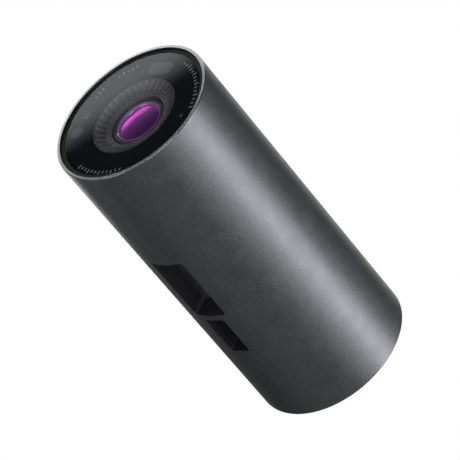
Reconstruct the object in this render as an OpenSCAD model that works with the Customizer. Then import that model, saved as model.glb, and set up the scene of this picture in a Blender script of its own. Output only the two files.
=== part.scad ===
// Cylindrical desk webcam. The tube's axis is Y, the glass faces -Y and the two wells face -Z.
// The origin is on the axis, half way along the tube.

/* [Tube] */
// Outside diameter of the tube
tube_d = 42; // [38:0.5:60]
// Length of the tube
tube_len = 91.6; // [90:0.1:130]
// Thickness of the tube's wall
tube_wall = 1.8; // [1.4:0.05:2.4]
// Width of the lip that the front end shows
lip_w = 0.85; // [0.6:0.05:1.2]
// Width of the lip that the rear end shows
rear_lip_w = 1; // [0.8:0.05:1.4]
// Chamfer on the outer edges of both ends
edge_chamfer = 0.2; // [0.1:0.05:0.4]

/* [Front glass] */
// Depth of the glass below the front lip
glass_recess = 0.55; // [0.3:0.05:1.5]
// Thickness of the glass
glass_t = 0.7; // [0.5:0.05:1.2]
// Thickness of the black mask plate behind the glass
mask_t = 0.3; // [0.2:0.05:0.6]
// Width of the black bezel ring round the glass
bezel_w = 1; // [0.7:0.05:1.4]
// Depth of the bezel ring's front below the lip
bezel_recess = 0.45; // [0.2:0.05:0.6]
// Thickness of the bezel's shelf behind the mask
shelf_t = 0.8; // [0.5:0.05:1.5]
// Width of the bezel's shelf
shelf_w = 0.75; // [0.5:0.05:1.2]

/* [Windows] */
// Width of the stadium window above the lens
ir_window_w = 7.8; // [5:0.1:9]
// Height of the stadium window
ir_window_h = 3.84; // [3.6:0.02:4.6]
// Height of its centre above the axis
ir_window_up = 14.75; // [14.5:0.05:15.2]
// Diameter of the larger round window
emitter_window_d = 3.6; // [3:0.05:4]
// Its place across the face
emitter_window_x = -15.95; // [-16.1:0.05:-15]
// Its height above the axis
emitter_window_up = -5; // [-6:0.1:-4.5]
// Diameter of the smaller round window
presence_window_d = 2; // [1.6:0.05:2.4]
// Its place across the face
presence_window_x = -15.8; // [-16.5:0.05:-15]
// Its height above the axis
presence_window_up = 0.3; // [0:0.1:2]
// Diameter of the status light's window
status_window_d = 1; // [0.8:0.05:1.6]
// Its place across the face
status_window_x = 15.95; // [15:0.05:16.5]
// Its height above the axis
status_window_up = -0.45; // [-2:0.05:2]

/* [Fluted ring] */
// Diameter of the fluted ring
flute_ring_d = 23.88; // [21:0.02:25]
// Number of flutes
flute_count = 36; // [24:1:40]
// Rise of the bowl from its throat to its rim
bowl_rise = 1.76; // [1.2:0.02:2.2]
// Depth of a flute at its outer end
flute_depth = 0.32; // [0.15:0.01:0.45]
// Thickness of the ring behind its throat
flute_ring_t = 1; // [0.6:0.1:1.5]

/* [Lens] */
// Outside diameter of the lens barrel
barrel_d = 13.9; // [12.8:0.1:15]
// Running gap between the barrel and the fluted ring
throat_gap = 0.3; // [0.2:0.05:0.5]
// Diameter of the front element that shows
front_view_d = 11.8; // [11:0.05:12]
// Radius of the front element's outer face
front_curve = 14; // [11:0.5:20]
// Drop of the barrel's sloping front ring
front_slope = 0.51; // [0.3:0.01:0.8]
// Travel of the focus slide
focus_travel = 0.35; // [0.1:0.05:0.4]
// Thickness of the focus magnets along the radius
magnet_w = 1.35; // [1:0.05:1.6]

/* [Wells] */
// Width of the large well
well_w = 10.12; // [8:0.02:12]
// Length of the large well
well_len = 19.85; // [16:0.05:22]
// Distance from the front to the large well
well_from_front = 32.05; // [30:0.05:36]
// Depth of the large well at the middle of the tube
well_depth = 5.5; // [3:0.1:6.5]
// Corner radius of the large well
well_r = 1.05; // [0.8:0.1:2.4]
// Width of the small well
small_w = 6.24; // [4:0.02:8]
// Length of the small well
small_len = 12.2; // [8:0.05:14]
// Bridge of tube wall between the two wells
bridge_w = 1.75; // [1.7:0.05:3]
// Depth of the small well
small_depth = 6.3; // [3:0.1:7]
// Corner radius of the small well
small_r = 0.85; // [0.6:0.1:2]
// Wall and floor thickness of the trays behind the wells
tray_t = 0.8; // [0.6:0.05:0.85]
// Thickness of the plate on the large well's floor
dock_plate_t = 0.6; // [0.4:0.1:1]
// Thickness of the magnets above the large well
magnet_t = 2.4; // [1.5:0.1:2.6]

/* [Boards] */
// Thickness of the main and sensor boards
board_t = 1; // [0.8:0.1:1.2]
// Distance of the main board's top below the axis
board_drop = 7; // [6.8:0.1:7.4]
// Thickness of the small boards at the front and rear
thin_board_t = 0.8; // [0.6:0.1:1]
// Half width of the main board
board_half_w = 16.3; // [15.6:0.1:16.8]
// Number of fins on the heat sink
fin_count = 5; // [3:1:7]
// Thickness of a fin
fin_t = 1.6; // [0.8:0.1:2]

/* [Rear] */
// Recess of the rear cap below the tube's end
cap_recess = 0.6; // [0.2:0.1:1.2]
// Thickness of the rear cap
cap_t = 1.8; // [1.2:0.1:2.5]
// Outside width of the USB-C socket
usb_w = 8.94; // [8.9:0.02:9]
// Outside height of the USB-C socket
usb_h = 3.26; // [3.2:0.02:3.3]
// Length of the USB-C socket
usb_len = 7.3; // [6.5:0.1:8]

/* [Fits] */
// Radial gap of pieces that are pushed into the tube
push_gap = 0.1; // [0.05:0.05:0.2]
// Radial gap of seated rings, windows and glass
seat_gap = 0.05; // [0.03:0.01:0.1]
// Gap between the cap and the socket that passes through it
port_gap = 0.3; // [0.2:0.05:0.5]
// Smallest gap to the moving lens group
focus_gap = 0.35; // [0.3:0.05:0.4]

/* [Hidden] */
$fn = 96;

// Overshoot of cutting shapes
cut = 1;

// Radii of the tube
tube_r = tube_d / 2;
bore_r = tube_r - tube_wall;
lip_r = tube_r - lip_w;
rear_lip_r = tube_r - rear_lip_w;

// Depths of the front stack, counted from the front lip
mask_y = glass_recess + glass_t;
shelf_y = mask_y + mask_t;
bezel_back = shelf_y + shelf_t;
bezel_out_r = lip_r - seat_gap;
bezel_in_r = bezel_out_r - bezel_w;
glass_r = bezel_in_r - seat_gap;
shelf_r = bezel_in_r - shelf_w;

// Front chassis
chassis_r = bore_r - push_gap;
chassis_floor = shelf_y + 2.45;
skirt_t = 0.7;
skirt_r = chassis_r - skirt_t;

// Lens barrel, from front to rear
flute_ring_r = flute_ring_d / 2;
barrel_r = barrel_d / 2;
throat_r = barrel_r + throat_gap;
throat_y = mask_y + seat_gap + bowl_rise;
view_r = front_view_d / 2;
view_y = throat_y + front_slope;
element_r = view_r + 0.2;
ring_r = element_r + 0.35;
ring_y = throat_y + front_slope * (barrel_r - ring_r) / (barrel_r - view_r);
ring_skirt = 0.6;
front_apex_y = view_y - front_curve + sqrt(pow(front_curve, 2) - pow(view_r, 2));
front_back_y = view_y + 1.83;
element_gap = 0.02;
second_r = element_r - 0.8;
third_r = element_r - 1.3;
spacer_t = 0.6;
element_t = 2;
rim_w = 0.7;
second_y = front_back_y + spacer_t;
middle_y = second_y + element_t;
stop_y = middle_y + spacer_t;
stop_t = 0.6;
stop_r = 3;
third_y = stop_y + stop_t;
rear_spacer_y = third_y + element_t;
rear_y = rear_spacer_y + spacer_t;
retainer_y = rear_y + element_t;
retainer_t = 0.6;
barrel_end = retainer_y + retainer_t + 0.2;
barrel_step = stop_y - 0.25;

// Focus unit
barrel_rear_r = barrel_r - 0.75;
carrier_y = barrel_step + 0.35;
carrier_t = 1.18;
flange_h = 0.5;
flange_r = barrel_rear_r + 2;
carrier_end = barrel_end - 0.5;
spring_t = 0.08;
magnet_in_r = flange_r + focus_gap;
magnet_out_r = magnet_in_r + magnet_w;
yoke_t = 0.6;
focus_r = magnet_out_r + yoke_t;
magnet_arc = 62;
yoke_y = carrier_y - focus_travel - focus_gap - 0.5;
yoke_hole_r = barrel_r + focus_gap;
base_y = carrier_end + spring_t;
base_floor = barrel_end + 0.4;
filter_y = base_floor + 1.4;
filter_t = 0.3;
filter_r = 4.6;
sensor_t = 1.2;
sensor_y = filter_y + filter_t + 0.3;
sensor_half = 5.6;
sensor_board_y = sensor_y + sensor_t;
sensor_board_back = sensor_board_y + board_t;
sensor_board_half = 12.6;
heat_plate_t = 1.2;

// Posts on the front chassis that carry the front board and the sensor board
post_r = 1.4;
post_ring_r = min(14.8, skirt_r - post_r - 0.6);
post_foot_r = 2;
pilot_r = 0.8;
screw_r = 0.75;
head_r = 1.5;
head_h = 0.9;
front_board_y = chassis_floor + 4;
front_board_hole_r = max(flute_ring_r - 0.6, focus_r + 0.4);
front_board_r = skirt_r - 0.15;
emitter_off_axis = sqrt(pow(emitter_window_x, 2) + pow(emitter_window_up, 2));
emitter_r = min(1.4, front_board_r - emitter_off_axis);

// Inner frame
skirt_end = sensor_board_back + 3;
bulkhead_t = 1.4;
boss_r = 1.6;
boss_ring_r = skirt_r - boss_r + 0.1;
frame_bolts = [90, 210, 330];
rear_bulkhead_y = tube_len - 11.6;
rail_w = 3;
rail_h = 3;
rail_low = board_drop + board_t + rail_h;
rail_out_x = min(15.4, sqrt(pow(chassis_r - 0.1, 2) - pow(rail_low, 2)));
rail_in_x = rail_out_x - rail_w;
rail_screw_x = rail_in_x + rail_w / 2;

// Main board and what it carries, heights above the axis are negative
board_top = -board_drop;
board_bottom = board_top - board_t;
board_y0 = skirt_end + bulkhead_t + 1.2;
board_y1 = rear_bulkhead_y - 1;
chip_half = 6;
chip_t = 1.2;
pad_t = 1;
chip_y = board_y0 + 15;
memory_y = chip_y + 13;
memory_half = 4;
memory_t = 0.9;
sink_bottom = board_top + chip_t + pad_t;
sink_t = 1.6;
sink_half_w = rail_in_x - 0.6;
sink_y0 = board_y0 + 7;
sink_y1 = memory_y + memory_half + 1;
sink_r = bore_r - 0.3;
can_y0 = sink_y1 + 1.5;
can_len = 9;
can_h = 2.4;
can_t = 0.3;
can_half_w = 9;

// Wells
well_top = -(tube_r - well_depth);
small_top = -(tube_r - small_depth);
well_y = well_from_front + well_len / 2;
small_y = well_from_front + well_len + bridge_w + small_len / 2;

// Socket at the rear
usb_end = tube_len - cap_recess - 0.5;
usb_start = usb_end - usb_len;
usb_wall = 0.3;
usb_board_top = -usb_h / 2;
usb_board_y0 = usb_start - 14;
usb_board_y1 = usb_start + 1.4;
rear_frame_y = usb_board_y1 + 0.2;
rear_frame_t = 1.6;
cap_y = tube_len - cap_recess - cap_t;
cap_skirt_t = 0.5;
stacker_half_w = 5;
stacker_len = 3;

// Flat cables
flex_t = 0.15;
sensor_flex_half = 4;
front_flex_half = 3;
front_flex_drop = sensor_board_half + 0.5;
connector_h = 1.2;

// Coordinates inside: X across, Y the depth from the front lip, Z up
module from_front() {
    translate([0, -tube_len / 2, 0]) children();
}

// A solid of revolution whose profile is given as [radius, depth]
module turned(profile) {
    from_front() rotate([-90, 0, 0]) rotate_extrude() polygon(profile);
}

// A washer between two depths
module washer(out_r, in_r, y0, y1) {
    turned([[in_r, y0], [out_r, y0], [out_r, y1], [in_r, y1]]);
}

// A round bar parallel to the tube
module rod(x, up, r, y0, y1) {
    translate([x, y0, up]) rotate([-90, 0, 0]) cylinder(r = r, h = y1 - y0);
}

// A box between two corners
module block(x0, x1, y0, y1, z0, z1) {
    translate([x0, y0, z0]) cube([x1 - x0, y1 - y0, z1 - z0]);
}

// A plate that faces the front, its outline given across and up
module facing(y0, y1) {
    translate([0, y1, 0]) rotate([90, 0, 0]) linear_extrude(height = y1 - y0) children();
}

// Rectangle with round corners
module rounded_plan(w, l, r) {
    square([w - 2 * r, l], center = true);
    square([w, l - 2 * r], center = true);
    for (sx = [-1, 1], sy = [-1, 1])
        translate([sx * (w / 2 - r), sy * (l / 2 - r)]) circle(r = r);
}

// Slot with round ends
module stadium(w, h) {
    square([w - h, h], center = true);
    for (s = [-1, 1]) translate([s * (w - h) / 2, 0]) circle(r = h / 2);
}

// Upright space of a well, from its inner end out through the tube
module well_space(w, l, r, y, top) {
    translate([0, y, -tube_r - cut]) linear_extrude(height = tube_r + cut + top) rounded_plan(w, l, r);
}

// All the windows' outlines, grown by a gap
module ir_outline(gap) {
    translate([0, ir_window_up]) stadium(ir_window_w + 2 * gap, ir_window_h + 2 * gap);
}
module emitter_outline(gap) {
    translate([emitter_window_x, emitter_window_up]) circle(r = emitter_window_d / 2 + gap);
}
module presence_outline(gap) {
    translate([presence_window_x, presence_window_up]) circle(r = presence_window_d / 2 + gap);
}
module status_outline(gap) {
    translate([status_window_x, status_window_up]) circle(r = status_window_d / 2 + gap);
}
module window_outlines(gap) {
    ir_outline(gap);
    emitter_outline(gap);
    presence_outline(gap);
    status_outline(gap);
}

// Four corners of the post circle
module at_posts() {
    for (i = [0 : 3]) rotate([0, 45 + 90 * i, 0]) translate([post_ring_r, 0, 0]) children();
}

// Three bolts between the front chassis, the frame and the rear frame
module at_bolts(radius) {
    for (a = frame_bolts) rotate([0, a, 0]) translate([radius, 0, 0]) children();
}

// Screw whose head lies behind the depth y
module rear_screw(y, length) {
    rod(0, 0, screw_r, y - length, y);
    difference() {
        rod(0, 0, head_r, y, y + head_h);
        translate([0, y + head_h + cut, 0]) rotate([90, 0, 0]) cylinder(r = 0.6, h = cut + 0.45, $fn = 6);
    }
}

// Casing

module tube_shell() {
    color("#4a4d52") difference() {
        turned([
            [lip_r, 0], [tube_r - edge_chamfer, 0], [tube_r, edge_chamfer],
            [tube_r, tube_len - edge_chamfer], [tube_r - edge_chamfer, tube_len],
            [rear_lip_r, tube_len], [rear_lip_r, cap_y], [bore_r, cap_y],
            [bore_r, bezel_back], [lip_r, bezel_back]
        ]);
        from_front() well_space(well_w, well_len, well_r, well_y, well_top);
        from_front() well_space(small_w, small_len, small_r, small_y, small_top);
    }
}

module bezel_ring() {
    color("#101012") turned([
        [bezel_in_r, bezel_recess], [bezel_out_r, bezel_recess], [bezel_out_r, bezel_back],
        [shelf_r, bezel_back], [shelf_r, shelf_y], [bezel_in_r, shelf_y]
    ]);
}

module front_glass() {
    color("#202226", 0.4) from_front() rod(0, 0, glass_r, glass_recess, mask_y);
}

module mask_plate() {
    color("#08080a") from_front() difference() {
        rod(0, 0, glass_r, mask_y, shelf_y);
        rod(0, 0, flute_ring_r + seat_gap, mask_y - cut, shelf_y + cut);
        facing(mask_y - cut, shelf_y + cut) window_outlines(seat_gap);
    }
}

module ir_window() {
    color("#3a3b40") from_front() facing(mask_y, shelf_y) ir_outline(0);
}

module emitter_window() {
    color("#3a3b40") from_front() facing(mask_y, shelf_y) emitter_outline(0);
}

module presence_window() {
    color("#3a3b40") from_front() facing(mask_y, shelf_y) presence_outline(0);
}

module status_window() {
    color("#6a6c70") from_front() facing(mask_y, shelf_y) status_outline(0);
}

// Depth of the bowl at a share of the way from rim to throat
function bowl_y(t) = mask_y + seat_gap + bowl_rise * (1 - pow(1 - t, 1.5));
bowl_rim_r = flute_ring_r - 0.2;
bowl_steps = 6;
flute_len = bowl_rim_r - throat_r - 1.1;
flute_cut_r = 1.1;
flute_tilt = atan2(bowl_y(0.7) - bowl_y(0.12), 0.58 * (bowl_rim_r - throat_r));

module flute_ring() {
    back_y = throat_y + flute_ring_t;
    color("#1c1d20") difference() {
        turned(concat(
            [for (i = [0 : bowl_steps])
                [bowl_rim_r - (bowl_rim_r - throat_r) * i / bowl_steps, bowl_y(i / bowl_steps)]],
            [[throat_r, back_y], [flute_ring_r, back_y], [flute_ring_r, mask_y + seat_gap]]
        ));
        from_front() rotate([-90, 0, 0])
            for (i = [0 : flute_count - 1]) rotate([0, 0, 360 * i / flute_count])
                translate([bowl_rim_r - flute_cut_r / 2, 0, bowl_y(0.12) - flute_cut_r + flute_depth])
                rotate([0, -90 + flute_tilt - 8, 0]) {
                    cylinder(r = flute_cut_r, h = flute_len);
                    sphere(r = flute_cut_r);
                }
    }
}

module front_chassis() {
    color("#17181a") from_front() difference() {
        union() {
            rod(0, 0, shelf_r - seat_gap, shelf_y, chassis_floor);
            rod(0, 0, chassis_r, bezel_back, skirt_end);
        }
        difference() {
            rod(0, 0, skirt_r, chassis_floor, skirt_end + cut);
            at_posts() {
                rod(0, 0, post_foot_r, chassis_floor - cut, front_board_y);
                rod(0, 0, post_r, chassis_floor - cut, sensor_board_y);
            }
            at_bolts(boss_ring_r) rod(0, 0, boss_r, skirt_end - 5, skirt_end + cut);
        }
        rod(0, 0, flute_ring_r + seat_gap, shelf_y - cut, throat_y + flute_ring_t);
        rod(0, 0, throat_r + 0.4, shelf_y - cut, chassis_floor + cut);
        facing(shelf_y - cut, chassis_floor + cut) window_outlines(seat_gap);
        at_posts() rod(0, 0, pilot_r, sensor_board_y - 4, sensor_board_y + cut);
        at_bolts(boss_ring_r) rod(0, 0, pilot_r, skirt_end - 4, skirt_end + cut);
    }
}

// Lens group, which moves together

module lens_barrel() {
    color("#2c2d31") turned([
        [ring_r + element_gap, ring_y], [barrel_r, throat_y], [barrel_r, barrel_step],
        [barrel_rear_r, barrel_step], [barrel_rear_r, barrel_end], [third_r + element_gap, barrel_end],
        [third_r + element_gap, third_y], [stop_r, third_y], [stop_r, stop_y],
        [second_r + element_gap, stop_y], [second_r + element_gap, second_y],
        [element_r + element_gap, second_y], [element_r + element_gap, ring_y + ring_skirt],
        [ring_r + element_gap, ring_y + ring_skirt]
    ]);
}

module lens_retaining_ring() {
    color("#34353a") turned([
        [view_r, view_y], [ring_r, ring_y], [ring_r, ring_y + ring_skirt],
        [element_r + element_gap, ring_y + ring_skirt], [element_r + element_gap, view_y]
    ]);
}

// Round element with a flat rim, dished at the front and domed at the rear
module element(r, y0, y1, dish, rise) {
    cap_r = r - rim_w;
    from_front() difference() {
        union() {
            rod(0, 0, r, y0, y1);
            dome(cap_r, y1, rise);
        }
        dome(cap_r, y0, dish);
    }
}

// Cap of a sphere on the plane y, which stands out by rise
module dome(r, y, rise) {
    ball_r = cap_curve(r, rise);
    intersection() {
        translate([0, y + rise - sign(rise) * ball_r, 0]) sphere(r = ball_r, $fn = 192);
        rod(0, 0, r, min(y, y + rise) - (rise > 0 ? 0 : cut), max(y, y + rise) + (rise > 0 ? cut : 0));
    }
}

module front_element() {
    color("#6b2f86", 0.8) from_front() difference() {
        intersection() {
            rod(0, 0, element_r, front_apex_y - cut, front_back_y);
            translate([0, front_apex_y + front_curve, 0]) sphere(r = front_curve, $fn = 192);
        }
        dome(element_r - 1.5, front_back_y, -1.2);
    }
}

module front_spacer() {
    color("#1a1a1c") washer(element_r, second_r - rim_w + 0.1, front_back_y, second_y);
}

// Radius of the sphere whose cap of radius r rises by the given amount
function cap_curve(r, rise) = (r * r + rise * rise) / (2 * abs(rise));

module second_element() {
    rise = 0.5;
    ball_r = cap_curve(second_r - rim_w, rise);
    color("#8fa6b8", 0.7) from_front() intersection() {
        rod(0, 0, second_r, second_y - rise, middle_y + rise);
        translate([0, second_y - rise + ball_r, 0]) sphere(r = ball_r, $fn = 192);
        translate([0, middle_y + rise - ball_r, 0]) sphere(r = ball_r, $fn = 192);
    }
}

module middle_spacer() {
    color("#1a1a1c") washer(second_r, second_r - rim_w + 0.1, middle_y, stop_y);
}

module third_element() {
    color("#8fa6b8", 0.7) element(third_r, third_y, rear_spacer_y, 0.4, 0.4);
}

module rear_spacer() {
    color("#1a1a1c") washer(third_r, third_r - rim_w + 0.1, rear_spacer_y, rear_y);
}

module rear_element() {
    color("#8fa6b8", 0.7) element(third_r, rear_y, retainer_y, 0.5, 0.4);
}

module rear_retainer() {
    color("#2c2d31") washer(third_r, third_r - rim_w + 0.1, retainer_y, retainer_y + retainer_t);
}

module lens_carrier() {
    hub_r = barrel_rear_r + element_gap;
    wall_r = hub_r + carrier_t;
    color("#242528") turned([
        [hub_r, carrier_y], [flange_r, carrier_y], [flange_r, carrier_y + flange_h],
        [wall_r, carrier_y + flange_h], [wall_r, carrier_end - flange_h],
        [flange_r, carrier_end - flange_h], [flange_r, carrier_end], [hub_r, carrier_end]
    ]);
}

module focus_coil() {
    wall_r = barrel_rear_r + element_gap + carrier_t;
    color("#b4662c") washer(flange_r - 0.05, wall_r, carrier_y + flange_h, carrier_end - flange_h);
}

// Fixed parts of the focus unit

module focus_magnets() {
    color("#9a9ca0") from_front() for (i = [0 : 3]) rotate([0, 90 * i, 0]) intersection() {
        difference() {
            rod(0, 0, magnet_out_r, carrier_y, carrier_end);
            rod(0, 0, magnet_in_r, carrier_y - cut, carrier_end + cut);
        }
        facing(carrier_y - cut, carrier_end + cut) polygon([
            [0, 0], [focus_r, -focus_r * tan(magnet_arc / 2)], [focus_r, focus_r * tan(magnet_arc / 2)]
        ]);
    }
}

module focus_yoke() {
    color("#7b7d82") turned([
        [yoke_hole_r, yoke_y], [focus_r, yoke_y], [focus_r, base_y],
        [magnet_out_r, base_y], [magnet_out_r, yoke_y + 0.5], [yoke_hole_r, yoke_y + 0.5]
    ]);
}

// Flat spring of two rings and four arms, touching the carrier's flange and the magnets
module leaf_spring(y) {
    in_ring = barrel_rear_r + 1.1;
    arm_w = 0.5;
    from_front() facing(y, y + spring_t) {
        difference() {
            circle(r = magnet_out_r - 0.05);
            circle(r = magnet_in_r + 0.3);
        }
        difference() {
            circle(r = flange_r - 0.1);
            circle(r = in_ring);
        }
        for (i = [0 : 3]) rotate(90 * i + 45)
            translate([flange_r - 0.3, -arm_w / 2]) square([magnet_in_r - flange_r + 0.8, arm_w]);
    }
}

module front_leaf_spring() {
    color("#c9a765") leaf_spring(carrier_y - spring_t);
}

module rear_leaf_spring() {
    color("#c9a765") leaf_spring(carrier_end);
}

module focus_base() {
    color("#1c1d20") from_front() difference() {
        rod(0, 0, focus_r, base_y, sensor_board_y);
        rod(0, 0, flange_r + 0.4, base_y - cut, base_floor);
        rod(0, 0, filter_r - 0.6, base_floor - cut, filter_y + cut);
        rod(0, 0, filter_r + seat_gap, filter_y, filter_y + filter_t + cut);
        block(-sensor_half - 0.4, sensor_half + 0.4, filter_y + filter_t, sensor_board_y + cut,
            -sensor_half - 0.4, sensor_half + 0.4);
    }
}

module ir_cut_filter() {
    color("#7fb7c4", 0.6) from_front() rod(0, 0, filter_r, filter_y, filter_y + filter_t);
}

module image_sensor() {
    color("#2b3350") from_front()
        block(-sensor_half, sensor_half, sensor_y, sensor_board_y, -sensor_half, sensor_half);
}

module sensor_board() {
    color("#1d5a3a") from_front() difference() {
        intersection() {
            block(-sensor_board_half, sensor_board_half, sensor_board_y, sensor_board_back,
                -sensor_board_half, sensor_board_half);
            rod(0, 0, post_ring_r + 2.2, sensor_board_y - cut, sensor_board_back + cut);
        }
        at_posts() rod(0, 0, screw_r + 0.2, sensor_board_y - cut, sensor_board_back + cut);
    }
}

module sensor_screws() {
    color("#8b8d92") from_front() at_posts() rear_screw(sensor_board_back, 4);
}

module sensor_heat_plate() {
    color("#a9abb0") from_front()
        block(-7.5, 7.5, sensor_board_back, sensor_board_back + heat_plate_t, -7, 8.5);
}

// Boards and sensors behind the face

module front_board() {
    color("#1d5a3a") from_front() difference() {
        rod(0, 0, front_board_r, front_board_y, front_board_y + thin_board_t);
        rod(0, 0, front_board_hole_r, front_board_y - cut, front_board_y + thin_board_t + cut);
        at_posts() rod(0, 0, post_r + 0.1, front_board_y - cut, front_board_y + thin_board_t + cut);
    }
}

module ir_camera() {
    color("#1a1b1e") from_front()
        block(-3.1, 3.1, front_board_y - 2.8, front_board_y, ir_window_up - 2.2, ir_window_up + 2.2);
}

module ir_camera_lens() {
    color("#3b2a30") from_front() {
        rod(0, ir_window_up, 1.5, front_board_y - 3.8, front_board_y - 2.8);
        translate([0, 0, ir_window_up]) dome(1.3, front_board_y - 3.8, -0.5);
    }
}

module ir_emitter() {
    color("#46474c") from_front() translate([emitter_window_x, 0, emitter_window_up]) {
        rod(0, 0, emitter_r, front_board_y - 2.4, front_board_y);
        dome(emitter_r - 0.2, front_board_y - 2.4, -0.8);
    }
}

module presence_sensor() {
    color("#26272a") from_front() block(presence_window_x - 1, presence_window_x + 1,
        front_board_y - 1, front_board_y, presence_window_up - 0.8, presence_window_up + 0.8);
}

module status_led() {
    color("#e8e6da") from_front() block(status_window_x - 0.8, status_window_x + 0.8,
        front_board_y - 0.7, front_board_y, status_window_up - 0.5, status_window_up + 0.5);
}

module light_pipe() {
    color("#dfe6ea", 0.6) from_front()
        rod(status_window_x, status_window_up, status_window_d / 2, shelf_y, front_board_y - 0.7);
}

// Flat cable from the front board, past the sensor board, to the main board's front connector
module front_flex() {
    y0 = front_board_y + thin_board_t;
    y1 = board_y0 + 1.6;
    up = -front_flex_drop;
    color("#b98a3c") from_front() {
        block(-front_flex_half, front_flex_half, y0, y1, up - flex_t, up);
        block(-front_flex_half, front_flex_half, y1 - flex_t, y1, up - flex_t, board_bottom - connector_h);
    }
}

module sensor_flex() {
    up = board_bottom - connector_h / 2;
    color("#b98a3c") from_front() block(-sensor_flex_half, sensor_flex_half,
        sensor_board_back + connector_h, board_y0 + 0.5, up - flex_t, up);
}

// Trays and plates behind the two wells

module tray(w, l, r, y, top) {
    from_front() difference() {
        intersection() {
            rod(0, 0, bore_r - seat_gap, y - l, y + l);
            translate([0, y, -tube_r]) linear_extrude(height = tube_r + top + tray_t)
                rounded_plan(w + 2 * tray_t, l + 2 * tray_t, r + tray_t);
        }
        well_space(w, l, r, y, top);
    }
}

module dock_tray() {
    color("#0e0e10") tray(well_w, well_len, well_r, well_y, well_top + dock_plate_t);
}

module dock_plate() {
    color("#55585c") from_front() translate([0, well_y, well_top]) linear_extrude(height = dock_plate_t)
        rounded_plan(well_w - 2 * seat_gap, well_len - 2 * seat_gap, well_r - seat_gap);
}

module small_tray() {
    color("#0e0e10") tray(small_w, small_len, small_r, small_y, small_top);
}

module dock_magnets() {
    side = min(8, well_w - 2);
    base = well_top + dock_plate_t + tray_t;
    color("#a6a8ac") from_front() for (s = [-1, 1]) translate([0, well_y + s * well_len * 0.26, base])
        linear_extrude(height = magnet_t) rounded_plan(side, well_len * 0.4, 0.5);
}

// Main board

module main_board() {
    color("#1d5a3a") from_front() difference() {
        block(-board_half_w, board_half_w, board_y0, board_y1, board_bottom, board_top);
        at_rail_screws() cylinder(r = screw_r + 0.2, h = 4 * board_t, center = true);
    }
}

// Four screws through the main board into the frame's rails
module at_rail_screws() {
    for (sx = [-1, 1], y = [board_y0 + 3, board_y1 - 3])
        translate([sx * rail_screw_x, y, board_top]) children();
}

module board_screws() {
    color("#8b8d92") from_front() at_rail_screws() {
        difference() {
            cylinder(r = head_r, h = head_h);
            translate([0, 0, 0.45]) cylinder(r = 0.6, h = head_h, $fn = 6);
        }
        translate([0, 0, -board_t - 2]) cylinder(r = screw_r, h = board_t + 2);
    }
}

// Plugs on the sensor board and both sides of the main board
module board_connectors() {
    color("#d8d3c2") from_front() {
        block(-sensor_flex_half - 0.5, sensor_flex_half + 0.5, sensor_board_back,
            sensor_board_back + connector_h, board_bottom - connector_h - 0.4, board_bottom + 0.4);
        block(-sensor_flex_half - 0.5, sensor_flex_half + 0.5, board_y0 + 0.5, board_y0 + 3,
            board_bottom - connector_h, board_bottom);
        block(-stacker_half_w, stacker_half_w, usb_board_y0 + 1, usb_board_y0 + 1 + stacker_len,
            board_top, usb_board_top - thin_board_t);
    }
}

module image_processor() {
    color("#1b1c20") from_front()
        block(-chip_half, chip_half, chip_y - chip_half, chip_y + chip_half, board_top, board_top + chip_t);
}

module memory_chip() {
    color("#222327") from_front() block(-memory_half, memory_half, memory_y - memory_half + 1.5,
        memory_y + memory_half, board_top, board_top + memory_t);
}

module shield_can() {
    color("#b9bbbf") from_front() difference() {
        block(-can_half_w, can_half_w, can_y0, can_y0 + can_len, board_top, board_top + can_h);
        block(-can_half_w + can_t, can_half_w - can_t, can_y0 + can_t, can_y0 + can_len - can_t,
            board_top - cut, board_top + can_h - can_t);
    }
}

module thermal_pad() {
    color("#8793a8") from_front() block(-chip_half, chip_half, chip_y - chip_half, chip_y + chip_half,
        board_top + chip_t, sink_bottom);
}

module heat_sink() {
    pitch = (2 * sink_half_w - fin_t) / (fin_count - 1);
    color("#8f9196") from_front() facing(sink_y0, sink_y1) intersection() {
        circle(r = sink_r);
        union() {
            translate([-sink_half_w, sink_bottom]) square([2 * sink_half_w, sink_t]);
            for (i = [0 : fin_count - 1])
                translate([-sink_half_w + i * pitch, sink_bottom]) square([fin_t, 2 * sink_r]);
        }
    }
}

module inner_frame() {
    front_y = skirt_end;
    color("#2a2b2e") from_front() difference() {
        union() {
            rod(0, 0, chassis_r, front_y, front_y + bulkhead_t);
            rod(0, 0, chassis_r, rear_bulkhead_y, rear_bulkhead_y + bulkhead_t);
            for (s = [0, 1]) mirror([s, 0, 0])
                block(rail_in_x, rail_in_x + rail_w, front_y, rear_bulkhead_y + bulkhead_t,
                    board_bottom - rail_h, board_bottom);
            at_bolts(boss_ring_r) rod(0, 0, boss_r, rear_bulkhead_y, rear_frame_y);
        }
        block(-7, 7, front_y - cut, front_y + bulkhead_t + cut, -front_flex_drop - 1, -6);
        block(-8.4, 8.4, rear_bulkhead_y - cut, rear_bulkhead_y + bulkhead_t + cut, -4, 4);
        at_bolts(boss_ring_r) rod(0, 0, screw_r + 0.2, front_y - cut, front_y + bulkhead_t + cut);
        at_bolts(boss_ring_r) rod(0, 0, pilot_r, rear_frame_y - 4, rear_frame_y + cut);
        at_rail_screws() translate([0, 0, -board_t - 2.4]) cylinder(r = pilot_r, h = 2.4 + cut);
    }
}

// Screws at both ends of the inner frame
module frame_screws() {
    color("#8b8d92") from_front() {
        at_bolts(boss_ring_r) rear_screw(skirt_end + bulkhead_t, 4);
        at_bolts(boss_ring_r) rear_screw(rear_frame_y + rear_frame_t, 4);
    }
}

// Rear end

module usb_board() {
    color("#1d5a3a") from_front() block(-7.5, 7.5, usb_board_y0, usb_board_y1,
        usb_board_top - thin_board_t, usb_board_top);
}

module usb_shell() {
    color("#b4b6ba") from_front() difference() {
        facing(usb_start, usb_end) stadium(usb_w, usb_h);
        facing(usb_start + usb_wall, usb_end + cut) stadium(usb_w - 2 * usb_wall, usb_h - 2 * usb_wall);
    }
}

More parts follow.
